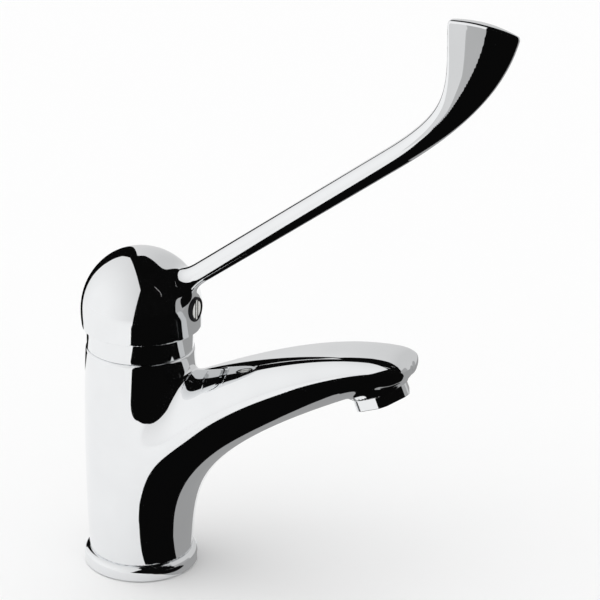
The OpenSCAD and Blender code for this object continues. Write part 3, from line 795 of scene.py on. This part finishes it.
def makeFinish(name):
    b = finishes[name]
    finish = bpy.data.materials.new(name)
    finish.use_nodes = True
    nodes, links = finish.node_tree.nodes, finish.node_tree.links
    shader = nodes["Principled BSDF"]
    shader.inputs["Metallic"].default_value = b["metal"]
    shader.inputs["Specular IOR Level"].default_value = b.get("shine", 0.5)
    spot = nodes.new("ShaderNodeTexCoord")
    grain = nodes.new("ShaderNodeTexNoise")
    grain.inputs["Scale"].default_value = b["grain"]
    grain.inputs["Detail"].default_value = 3
    links.new(spot.outputs["Object"], grain.inputs["Vector"])
    drift = nodes.new("ShaderNodeTexNoise")
    drift.inputs["Scale"].default_value = wear["driftScale"]
    drift.inputs["Detail"].default_value = 2
    links.new(spot.outputs["Object"], drift.inputs["Vector"])
    tint = nodes.new("ShaderNodeMix")
    tint.data_type = "RGBA"
    tint.inputs["A"].default_value = tuple(wear["darker"] * v for v in b["colour"]) + (1,)
    tint.inputs["B"].default_value = tuple(min(1, wear["paler"] * v) for v in b["colour"]) + (1,)
    links.new(drift.outputs["Fac"], tint.inputs["Factor"])
    links.new(tint.outputs["Result"], shader.inputs["Base Color"])
    spread = nodes.new("ShaderNodeMapRange")
    spread.inputs["To Min"].default_value, spread.inputs["To Max"].default_value = b["rough"]
    links.new(drift.outputs["Fac"], spread.inputs["Value"])
    links.new(spread.outputs["Result"], shader.inputs["Roughness"])
    bump = nodes.new("ShaderNodeBump")
    bump.inputs["Strength"].default_value = b["bump"]
    bump.inputs["Distance"].default_value = wear["grainDepth"] * mm
    links.new(grain.outputs["Fac"], bump.inputs["Height"])
    links.new(bump.outputs["Normal"], shader.inputs["Normal"])
    return finish


made = {name: makeFinish(name) for name in finishes}
print("finishes:", len(made))
bodyPiece = makeBody()
print("body:", len(bodyPiece.data.polygons), "faces")
leverPiece = makeLever()
print("lever:", len(leverPiece.data.polygons), "faces")
neckPiece, basePiece = makeNeckRing(), makeBaseRing()
housingPiece, screenPiece = makeAerator(), makeScreen(made["steel"])
plugPiece, marksPiece = makePlug(), makeMarks()
for piece in (neckPiece, basePiece, plugPiece):
    smoothByAngle(piece)
print("rings, aerator and plug made")

# finish, body it rides and node it replaces
for piece, finish, body, node in (
        (bodyPiece, "chrome", "tap", "body_casting"),
        (leverPiece, "chrome", "lever", "lever_handle"),
        (neckPiece, "chrome", "tap", "neck_ring"),
        (basePiece, "chrome", "tap", "base_ring"),
        (housingPiece, "chrome", "tap", "aerator_housing"),
        (screenPiece, "steel", "tap", "aerator_screen"),
        (plugPiece, "plug_plastic", "lever", "indicator_plug"),
        (marksPiece, "housing_plastic", "lever", None)):
    piece.data.materials.clear()
    piece.data.materials.append(made[finish])
    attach(piece, body)
    if node:
        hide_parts(node)
for part in frame["record"]["subparts"]:
    node = bpy.data.objects[part["node"]]
    for place in node.material_slots:
        place.material = made[part["material_slot"]]
print("pieces placed")


# studio: pale floor, white surround, and cards that only reflections see; floor lengths in metres

studio = {"floorHalf": 12, "floorDrop": 0.0002, "nearFloor": 0.25, "farFloor": 0.9,
          "paper": 0.93, "paperRough": 0.9, "fill": 0.83,
          "sunStrength": 0.85, "sunSpread": 70, "sunFrom": (-0.5, -0.35, 1),
          "brightAngle": 208, "bright": 1, "dim": 0.64, "fadeFrom": -0.35, "fadeTo": 0.95}
# the leaning plane of a small flag hung before the rear face of the blade
flag = {"through": (121, -48.7, 241), "slopeX": -0.446, "slopeZ": -0.173}


def onFlag(behind, *places):
    x0, y0, z0 = flag["through"]
    return [(x, y0 + flag["slopeX"] * (x - x0) + flag["slopeZ"] * (z - z0) - behind, z) for x, z in places]


def atHeight(z, *places):
    return [(x, y, z) for x, y in places]


# cards as a photographer would hang them round polished metal: how pale each is, and its corners
black = 0.003
cards = {
    "armCard": (black, [(32, -6.5, 125.5), (122, -6.5, 193), (122, 6.5, 193), (32, 6.5, 125.5)]),
    "flagGrey": (0.48, onFlag(0, (121, 262), (138, 262), (138, 236), (128, 205), (115, 205), (119, 222),
                              (122.2, 236))),
    "flagPale": (0.74, onFlag(0, (100, 262), (121, 262), (122.2, 236), (119, 222), (115, 205), (100, 205))),
    "flagBack": (black, onFlag(1, (100, 262), (138, 262), (138, 236), (128, 205), (100, 205))),
    "frontCard": (black, [(23, -210, 0), (1000, -210, 0), (1000, -300, 551), (157, -300, 551),
                          (50, -219, 57), (36, -215, 28)]),
    "sideCard": (black, [(900, -300, 0), (900, 50, 0), (900, 50, 560), (900, -300, 560)]),
    "greySideCard": (0.4, [(900, 50, 0), (900, 900, 0), (900, 900, 450), (900, 50, 450)]),
    "overheadCard": (black, atHeight(551, (157, -300), (1000, -300), (900, 50), (460, 80), (340, 130),
                                     (194, 184), (39, 278), (-130, 360), (-264, 280))),
    "deskCard": (black, atHeight(0.4, (20, -28), (30, -3), (46, -3), (53, 0), (58, 5), (64, 6), (70, 2),
                                 (78, -10), (91, -36), (120, -40), (140, 40), (280, 85), (900, 100),
                                 (900, -210), (23, -210), (24, -180), (26.5, -140), (22.5, -106), (18, -83),
                                 (17, -72), (19.5, -58))),
    "greyDeskCard": (0.35, atHeight(0.2, (24, -60), (1100, -300), (1100, 900), (20, 900))),
    "rearStrip": (black, [(-240, 110, 0), (-106, 175, 0), (-106, 175, 390), (-154, 152, 386),
                          (-168, 145, 301), (-218, 121, 231), (-231, 114.5, 180)]),
}


# tone of the surround: brightest one way, falling off round to the other side
def fallOff(nodes, links, way):
    facing = nodes.new("ShaderNodeVectorMath")
    facing.operation = "DOT_PRODUCT"
    links.new(way, facing.inputs[0])
    facing.inputs[1].default_value = (*direction(studio["brightAngle"]), 0)
    fade = nodes.new("ShaderNodeMapRange")
    ends = {"From Min": "fadeFrom", "From Max": "fadeTo", "To Min": "dim", "To Max": "bright"}
    for socket, name in ends.items():
        fade.inputs[socket].default_value = studio[name]
    links.new(facing.outputs["Value"], fade.inputs["Value"])
    return fade.outputs["Result"]


# matt white paper; far from the tap its reflections take the tone of the surround
def makeFloor():
    work = bmesh.new()
    bmesh.ops.create_grid(work, x_segments=8, y_segments=8, size=studio["floorHalf"])
    bmesh.ops.translate(work, vec=(0, 0, -studio["floorDrop"]), verts=work.verts)
    floor = newPiece("floor", work)
    paper = bpy.data.materials.new("paper")
    paper.use_nodes = True
    nodes, links = paper.node_tree.nodes, paper.node_tree.links
    shader = nodes["Principled BSDF"]
    shader.inputs["Base Color"].default_value = (studio["paper"], studio["paper"], studio["paper"], 1)
    shader.inputs["Roughness"].default_value = studio["paperRough"]
    shader.inputs["Specular IOR Level"].default_value = 0
    spot = nodes.new("ShaderNodeTexCoord")
    way = nodes.new("ShaderNodeVectorMath")
    way.operation = "NORMALIZE"
    links.new(spot.outputs["Object"], way.inputs[0])
    far = nodes.new("ShaderNodeVectorMath")
    far.operation = "LENGTH"
    links.new(spot.outputs["Object"], far.inputs[0])
    share = nodes.new("ShaderNodeMapRange")
    share.interpolation_type = "SMOOTHSTEP"
    share.inputs["From Min"].default_value = studio["nearFloor"]
    share.inputs["From Max"].default_value = studio["farFloor"]
    links.new(far.outputs["Value"], share.inputs["Value"])
    ray = nodes.new("ShaderNodeLightPath")
    mirrored = maths(paper.node_tree, "MULTIPLY", share.outputs["Result"], ray.outputs["Is Glossy Ray"])
    glow = nodes.new("ShaderNodeEmission")
    links.new(fallOff(nodes, links, way.outputs["Vector"]), glow.inputs["Strength"])
    mix = nodes.new("ShaderNodeMixShader")
    links.new(mirrored, mix.inputs["Fac"])
    links.new(shader.outputs[0], mix.inputs[1])
    links.new(glow.outputs[0], mix.inputs[2])
    links.new(mix.outputs[0], nodes["Material Output"].inputs["Surface"])
    floor.data.materials.append(paper)


def makeCard(name, tone, corners):
    work = bmesh.new()
    work.faces.new([work.verts.new(Vector(corner) * mm) for corner in corners])
    card = newPiece(name, work)
    paper = bpy.data.materials.new(name)
    paper.use_nodes = True
    nodes = paper.node_tree.nodes
    glow = nodes.new("ShaderNodeEmission")
    glow.inputs["Color"].default_value = (tone, tone, tone, 1)
    paper.node_tree.links.new(glow.outputs[0], nodes["Material Output"].inputs["Surface"])
    card.data.materials.append(paper)
    card.visible_camera = card.visible_diffuse = card.visible_shadow = card.visible_transmission = False


def makeWorld():
    world = bpy.data.worlds.new("studio")
    bpy.context.scene.world = world
    world.use_nodes = True
    nodes, links = world.node_tree.nodes, world.node_tree.links
    ray = nodes.new("ShaderNodeLightPath")
    seen = maths(world.node_tree, "MAXIMUM", ray.outputs["Is Camera Ray"], ray.outputs["Is Glossy Ray"])
    seen = maths(world.node_tree, "MAXIMUM", seen, ray.outputs["Is Transmission Ray"])
    # the camera sees white; reflections see the fall-off
    toward = nodes.new("ShaderNodeTexCoord")
    tone = fallOff(nodes, links, toward.outputs["Generated"])
    seenWall = nodes.new("ShaderNodeMix")
    seenWall.data_type = "FLOAT"
    links.new(ray.outputs["Is Glossy Ray"], seenWall.inputs["Factor"])
    seenWall.inputs["A"].default_value = 1
    links.new(tone, seenWall.inputs["B"])
    fill, white = nodes["Background"], nodes.new("ShaderNodeBackground")
    fill.inputs["Color"].default_value = (1, 1, 1, 1)
    fill.inputs["Strength"].default_value = studio["fill"]
    white.inputs["Color"].default_value = (1, 1, 1, 1)
    links.new(seenWall.outputs["Result"], white.inputs["Strength"])
    mix = nodes.new("ShaderNodeMixShader")
    links.new(seen, mix.inputs["Fac"])
    links.new(fill.outputs[0], mix.inputs[1])
    links.new(white.outputs[0], mix.inputs[2])
    links.new(mix.outputs[0], nodes["World Output"].inputs["Surface"])


def makeLamp():
    data = bpy.data.lights.new("softSun", "SUN")
    data.energy = studio["sunStrength"]
    data.angle = math.radians(studio["sunSpread"])
    lamp = bpy.data.objects.new("softSun", data)
    bpy.context.scene.collection.objects.link(lamp)
    aim = -Vector(studio["sunFrom"])
    lamp.matrix_world = aim.to_track_quat("-Z", "Y").to_matrix().to_4x4()
    lamp.visible_glossy = False


makeFloor()
for name, (tone, corners) in cards.items():
    makeCard(name, tone, corners)
makeWorld()
makeLamp()
print("studio made")


# camera at the photograph's angle; place and clip lengths in metres

camera = {"focal": 150, "sensor": 36, "nearest": 0.05, "farthest": 30,
          "place": (0.4465, -0.8784, 0.523), "azimuth": 23, "pitch": 22.1, "roll": 1.24}


def makeCamera():
    data = bpy.data.cameras.new("photoCamera")
    data.sensor_width = camera["sensor"]
    data.lens = camera["focal"]
    data.clip_start, data.clip_end = camera["nearest"], camera["farthest"]
    eye = bpy.data.objects.new("photoCamera", data)
    bpy.context.scene.collection.objects.link(eye)
    turn = (Matrix.Rotation(math.radians(camera["azimuth"]), 4, "Z")
            @ Matrix.Rotation(math.radians(90 - camera["pitch"]), 4, "X")
            @ Matrix.Rotation(math.radians(camera["roll"]), 4, "Z"))
    eye.matrix_world = Matrix.Translation(camera["place"]) @ turn
    bpy.context.scene.camera = eye


makeCamera()
bpy.context.scene.view_settings.view_transform = "Standard"
